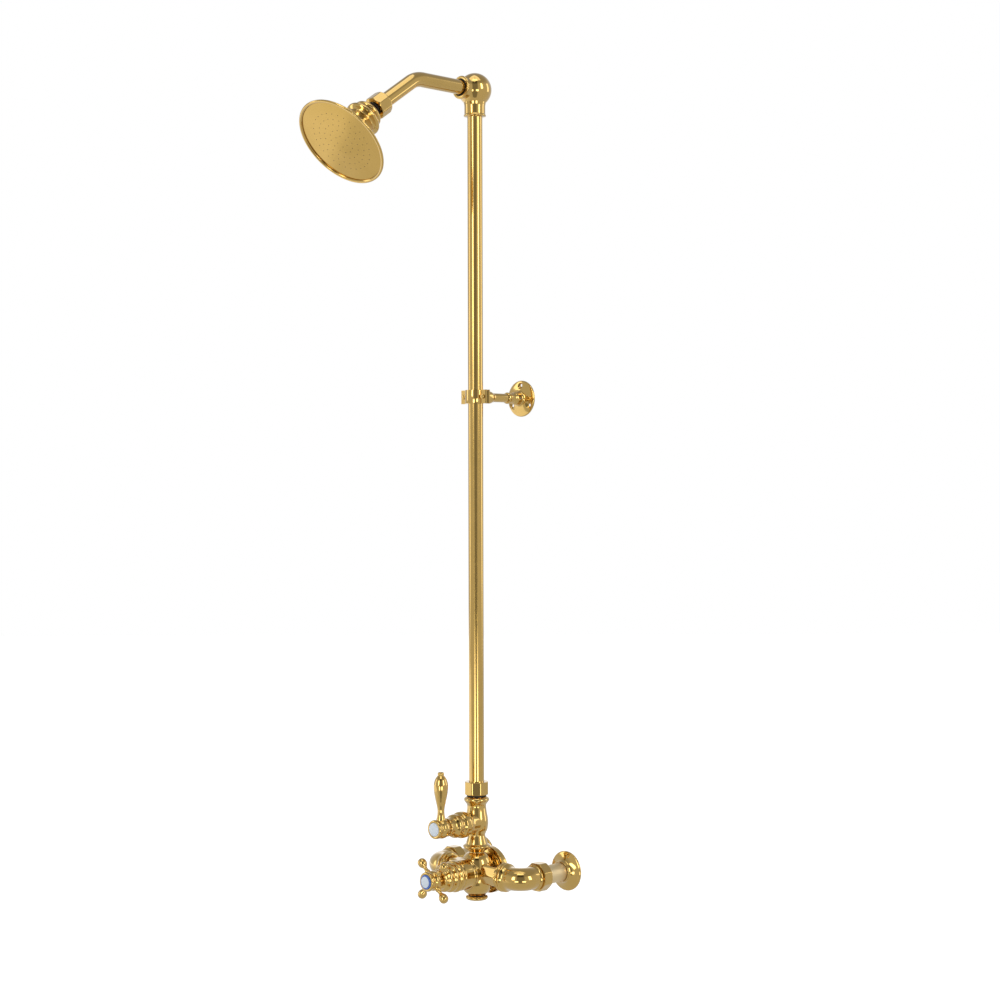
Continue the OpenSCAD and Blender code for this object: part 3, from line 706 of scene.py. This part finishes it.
def bracket_flange():
    """Turned flange with three countersunk screw holes and a grub screw hole, cut by a boolean."""
    bm = bmesh.new()
    outer = smooth([(0, BRACKET_R - 0.2), (0.6, BRACKET_R), (1.8, BRACKET_R - 0.1),
                    (2.6, BRACKET_R - 0.9), (3.6, BRACKET_R - 4), (4.6, BRACKET_R - 9), (5.6, 13.6),
                    (6.8, 11), (8.6, 9.8), (12, 9.4), (15.4, 9.4), (17.4, 8.9), (19.4, 8), (22, 7.5),
                    (28.4, 7.4), (29.6, 8.1), (31.4, 8.6), (33.2, 8.1), (34.2, 7.4)])
    socket = [(34.2, 6.55), (31, 6.55), (31, 0)]
    add_lathe(bm, [(0, 0)] + outer + socket, BRACKET, 128)
    flange = brass_piece("bracket_flange", bm, sharp=32)
    bm = bmesh.new()
    countersunk = [(-1, 0), (-1, HOLE_R), (1.8, HOLE_R), (5.4, HOLE_R + 3.6), (9, HOLE_R + 7.2), (9, 0)]
    for angle in (90, 210, 330):
        add_lathe(bm, countersunk, BRACKET @ spin(angle, "Z") @ shift(HOLE_CIRCLE / 2, 0, 0), 48)
    grub_hole = [(0, 0), (0, 2), (30, 2), (30, 0)]
    add_lathe(bm, grub_hole, BRACKET @ shift(0, 0, 12.6) @ spin(90, "Y"), 48)
    cutter = to_object("cutter", bm)
    cut = flange.modifiers.new("holes", "BOOLEAN")
    cut.operation = "DIFFERENCE"
    cut.object = cutter
    cut.solver = "EXACT"
    bpy.context.view_layer.update()
    evaluated = flange.evaluated_get(bpy.context.evaluated_depsgraph_get())
    drilled = D.meshes.new_from_object(evaluated)
    flange.modifiers.clear()
    flange.data = drilled
    D.objects.remove(cutter)
    smooth_shading(drilled, 30)


riser_nut()
riser_seal()
riser()
BOSS = smooth([(14.3, 9.6), (18, 9.6), (24, 9.4), (28, 9.1), (30.4, 8.4), (32.6, 7.4), (35, 7.1)])
clamp("clamp_front", -1)
clamp("clamp_rear", 1, [(14.2, 0)] + BOSS + [(35, 0)])
clamp_screws()
bracket_stem()
bracket_flange()


# ---------------------------------------------------------------- ball elbow and arm
def ball_elbow():
    bm = bmesh.new()
    neck = smooth([(-39, 15.4), (-38.6, 16.1), (-37.4, 16.4), (-36.4, 16), (-35.6, 15.5), (-34, 15.4),
                   (-24, 15.4), (-20.6, 15.9)], 6)
    ball = arc(24.6, -48.5, 90, 60)[:-1] + [(24.6, 0)]
    add_lathe(bm, [(-37, 11.25), (-39, 11.25)] + neck + ball, BALL, 128)
    branch = smooth([(16, 15.9), (19, 15.2), (22, 14.8), (25.6, 14.6), (26.4, 15.2), (27.2, 16.4),
                     (28.4, 16.8), (29.4, 16.3), (29.9, 15.2)], 8)
    mouth = fillet([(29.9, 15), (29.9, 12.7), (27.4, 12.7), (27.4, 10.7)], 0.3)
    add_lathe(bm, [(10, 0)] + branch + mouth + [(27.4, 0)], forward(BALL_Z), 128)
    brass_piece("ball_elbow", bm, sharp=30)


def arm():
    """Level leg, a smooth corner, then the sloping leg down to the ball stem."""
    bm = bmesh.new()
    corner = BEND_R * math.tan(math.radians(ARM_DROP / 2))
    start_y = RISER_Y - 20
    bend_y = RISER_Y - ARM_REACH + corner
    leg_steps = 12
    bend_steps = 24
    tail_steps = 8
    path = []
    for k in range(leg_steps + 1):
        path.append(Vector((0, start_y + (bend_y - start_y) * k / leg_steps, BALL_Z)))
    for k in range(1, bend_steps + 1):
        angle = math.radians(ARM_DROP * k / bend_steps)
        height = BALL_Z - BEND_R + BEND_R * math.cos(angle)
        path.append(Vector((0, bend_y - BEND_R * math.sin(angle), height)))
    for k in range(1, tail_steps + 1):
        path.append(ARM_END @ Vector((0, 0, corner + (ARM_TAIL - 19 - corner) * k / tail_steps)))
    add_sweep(bm, path, [ARM_R] * len(path))
    brass_piece("arm", bm)


def ball_stem():
    bm = bmesh.new()
    add_nut(bm, ARM_TAIL - 35, ARM_TAIL - 14, 32, 8, ARM_END, 2.4, ARM_R + 0.1)
    neck = [(ARM_TAIL - 15, 0), (ARM_TAIL - 15, 6), (ARM_TAIL - 9.2, 6)]
    ball = [(ARM_TAIL + station, radius) for station, radius in arc(11, -56, 60, 40)]
    add_lathe(bm, neck + ball + [(ARM_TAIL + 9.5, 0)], ARM_END, 96)
    brass_piece("ball_stem", bm, sharp=30)


def joint_gasket():
    bm = bmesh.new()
    outline = [(ARM_TAIL - 13.9, 6.1), (ARM_TAIL - 13.9, 10.6), (ARM_TAIL - 11.9, 10.6),
               (ARM_TAIL - 11.9, 6.1)]
    add_lathe(bm, fillet(outline, 0.4, 4, True), ARM_END, 96, True)
    finish_piece("joint_gasket_v", bm, [RUBBER_AND_HOLE_SHADE], "joint_ring", ["joint_gasket"])


# ---------------------------------------------------------------- head
def head_collar():
    bm = bmesh.new()
    socket = [(0, 11.06)] + arc(11.06, -4, -35, 12) + [(-6.8, 8.95)]
    beads = smooth([(-6.8, 9.2), (-6.6, 11), (-5.8, 13.4), (-4.6, 15.4), (-3.4, 17.4), (-1.8, 19.8),
                    (0.6, 21.3), (3, 21), (4.6, 19.4), (5.6, 18.4)])
    add_lathe(bm, socket + beads + [(5.7, 17), (12, 17), (12, 11.06)], HEAD, 128, True)
    brass_piece("head_collar", bm, "head")


def head_shell():
    bm = bmesh.new()
    outer = smooth([(5.8, 19), (7, 21.4), (9.4, 25), (12.4, 26.6), (15.2, 25.6), (17.2, 23), (18.6, 21.6),
                    (20.4, 21.4), (23, 22.4), (28, 25.8), (34, 30.6), (40, 36), (46, 42.2), (51, 48.4),
                    (56, 55.6), (60, 61.8), (62.8, HEAD_R - 3.4), (64.2, HEAD_R - 1.1),
                    (65.2, HEAD_R - 0.2), (66.2, HEAD_R), (67.2, HEAD_R - 0.5), (67.8, HEAD_R - 1.8),
                    (67.6, HEAD_R - 3.2), (66.8, HEAD_R - 4.2)])
    inner = [(66.2, HEAD_R - 4.6), (65, HEAD_R - 4.62), (63, HEAD_R - 4.62), (62.6, 62.4), (60, 59.4),
             (46, 40), (24, 21), (16, 15.6), (14, 15), (13.6, 17)]
    add_lathe(bm, [(5.8, 17.1)] + outer + inner, HEAD, 192, True)
    brass_piece("head_shell", bm, "head")


def spray_plate():
    bm = bmesh.new()
    plate_r = HEAD_R - 4.7
    add_lathe(bm, fillet([(63.8, 0), (63.8, plate_r), (65.2, plate_r), (65.2, 0)]), HEAD, 160)
    finish_piece("spray_plate_v", bm, [PLATE], "head", ["spray_plate"])


def spray_holes():
    """Rings of small black discs on the spray plate, painted shade for the dark inside of its spray holes,
    six more in each ring than in the last.
    """
    bm = bmesh.new()
    rings = 5
    ring_pitch = 9.2
    ring_twist = 7
    bore = [(64, 0), (65.24, 0.62), (65.27, 0.35), (65.27, 0)]
    for k in range(1, rings + 1):
        for i in range(6 * k):
            angle = 60 * i / k + ring_twist * k
            add_lathe(bm, bore, HEAD @ spin(angle, "Z") @ shift(ring_pitch * k, 0, 0), 16)
    # the discs take the black rubber finish as painted shade for the holes
    finish_piece("spray_hole_shade_v", bm, [RUBBER_AND_HOLE_SHADE], "head")


ball_elbow()
arm()
ball_stem()
joint_gasket()
head_collar()
head_shell()
spray_plate()
spray_holes()

# ---------------------------------------------------------------- finish of the carried-over CAD nodes
slot_of = {part["node"]: part["material_slot"] for part in frame["record"]["subparts"]}
for node, piece in frame["nodes"].items():
    material = SLOTS[slot_of[node]]
    if not piece.data.materials:
        piece.data.materials.append(material)
    for slot in piece.material_slots:
        slot.material = material

# ---------------------------------------------------------------- studio
# TOWARDS points to the viewer's side of the object, ACROSS to the viewer's right.
TOWARDS = Vector((0.7071, -0.7071, 0))
ACROSS = Vector((0.7071, 0.7071, 0))


def along(tree, source, direction):
    """How far a vector reaches along a direction."""
    node = tree.nodes.new("ShaderNodeVectorMath")
    node.operation = "DOT_PRODUCT"
    node.inputs[1].default_value = direction
    tree.links.new(source, node.inputs[0])
    return node.outputs["Value"]


def window(tree, value, low, high, softness):
    """One between low and high, zero outside, with soft edges."""
    opening = map_range(tree, value, low - softness, low + softness, 0, 1, True)
    closing = map_range(tree, value, high - softness, high + softness, 1, 0, True)
    return arithmetic(tree, "MULTIPLY", opening, closing)


def pale_floor():
    """Floor that is white to the camera; to other rays it glows grey, with painted light that rises towards
    the viewer's left and a painted bright band there, standing in for window light.
    """
    height = -0.42
    front = 0.9
    back = 9.0
    half_width = 7
    bm = bmesh.new()
    for reach, side in ((front, -1), (front, 1), (-back, 1), (-back, -1)):
        bm.verts.new(TOWARDS * reach + ACROSS * half_width * side + Vector((0, 0, height)))
    bm.faces.new(bm.verts)
    mesh = D.meshes.new("floor")
    bm.to_mesh(mesh)
    bm.free()
    floor = D.objects.new("floor", mesh)
    SCENE.collection.objects.link(floor)
    material, tree, shader = new_material("floor_white")
    shader.inputs["Base Color"].default_value = (0.25, 0.25, 0.25, 1)
    shader.inputs["Roughness"].default_value = 1.0
    shader.inputs["Specular IOR Level"].default_value = 0.0
    shader.inputs["Emission Color"].default_value = (1, 1, 1, 1)
    leftward = along(tree, object_coords(tree), -ACROSS)
    # painted light: the floor's glow rises towards the viewer's left, and the next line adds a bright band
    # like a window
    painted_light_rise = map_range(tree, leftward, 0.5, 1.5, 0.44, 0.68, True)
    edge = map_range(tree, leftward, 1.74, 1.96, 0, 0.30, True)
    seen = tree.nodes.new("ShaderNodeLightPath").outputs["Is Camera Ray"]
    glow = arithmetic(tree, "MAXIMUM", arithmetic(tree, "ADD", painted_light_rise, edge), seen)
    tree.links.new(glow, shader.inputs["Emission Strength"])
    mesh.materials.append(material)


def soft_box_room():
    """World with pale walls, a darker strip behind the viewer and soft boxes; a white backdrop is seen."""
    walls = 0.60
    dark_strip = 0.25
    backdrop = 1.0
    ceiling_drop = -0.22
    # turn from, turn to, rise from, rise to (degrees), strength
    soft_boxes = ((-42, -29, 3, 34, 4.0), (44, 57, 3, 34, 4.0), (-27, -10, -17, -6, 3.5),
                  (10, 27, -17, -6, 3.5), (-105, -92, -4, 30, 1.4), (96, 110, -4, 30, 1.4),
                  (-25, 28, 56, 70, 1.6))
    world = D.worlds.new("studio")
    SCENE.world = world
    world.use_nodes = True
    tree = world.node_tree
    tree.nodes.clear()
    output = tree.nodes.new("ShaderNodeOutputWorld")
    room = tree.nodes.new("ShaderNodeBackground")
    seen = tree.nodes.new("ShaderNodeBackground")
    mix = tree.nodes.new("ShaderNodeMixShader")
    path = tree.nodes.new("ShaderNodeLightPath")
    tree.links.new(path.outputs["Is Camera Ray"], mix.inputs[0])
    tree.links.new(room.outputs[0], mix.inputs[1])
    tree.links.new(seen.outputs[0], mix.inputs[2])
    tree.links.new(mix.outputs[0], output.inputs[0])
    for background in (room, seen):
        background.inputs[0].default_value = (1, 1, 1, 1)
    direction = tree.nodes.new("ShaderNodeTexCoord").outputs["Generated"]
    near = along(tree, direction, TOWARDS)
    right = along(tree, direction, ACROSS)
    up = along(tree, direction, (0, 0, 1))
    degrees = 180 / math.pi
    turn = arithmetic(tree, "MULTIPLY", arithmetic(tree, "ARCTAN2", right, near), degrees)
    rise = arithmetic(tree, "MULTIPLY", arithmetic(tree, "ARCSINE", up), degrees)
    level = map_range(tree, near, -0.97, -0.90, backdrop, walls, True)
    strip = arithmetic(tree, "MULTIPLY", window(tree, turn, -19, 22, 4), dark_strip - walls)
    level = arithmetic(tree, "ADD", level, strip)
    level = arithmetic(tree, "ADD", level, map_range(tree, up, 0.45, 0.75, 0, ceiling_drop, True))
    for turn_from, turn_to, rise_from, rise_to, strength in soft_boxes:
        turn_window = window(tree, turn, turn_from, turn_to, 2)
        rise_window = window(tree, rise, rise_from, rise_to, 2)
        box = arithmetic(tree, "MULTIPLY", arithmetic(tree, "MULTIPLY", turn_window, rise_window), strength)
        level = arithmetic(tree, "ADD", level, box)
    tree.links.new(level, room.inputs[1])


def top_light():
    light = D.lights.new("top_light", "AREA")
    light.shape = "RECTANGLE"
    light.size = 1.4
    light.size_y = 1.4
    light.energy = 6
    lamp = D.objects.new("top_light", light)
    SCENE.collection.objects.link(lamp)
    lamp.location = (0.3, -0.5, 2.6)


def camera():
    """Level camera, 45 degrees round from the front towards the cold supply."""
    lean = -0.149  # degrees about the line of sight
    lens = D.cameras.new("camera")
    lens.lens = 68.54
    lens.sensor_width = 36
    lens.sensor_fit = "HORIZONTAL"
    lens.shift_x = 0.00075
    lens.shift_y = -0.025
    viewer = D.objects.new("camera", lens)
    SCENE.collection.objects.link(viewer)
    viewer.location = (1.9900, -2.0385, 0.579)
    viewer.rotation_euler = (spin(45, "Z") @ spin(90, "X") @ spin(lean, "Z")).to_euler()
    SCENE.camera = viewer
    SCENE.view_settings.view_transform = "Standard"


pale_floor()
soft_box_room()
top_light()
camera()
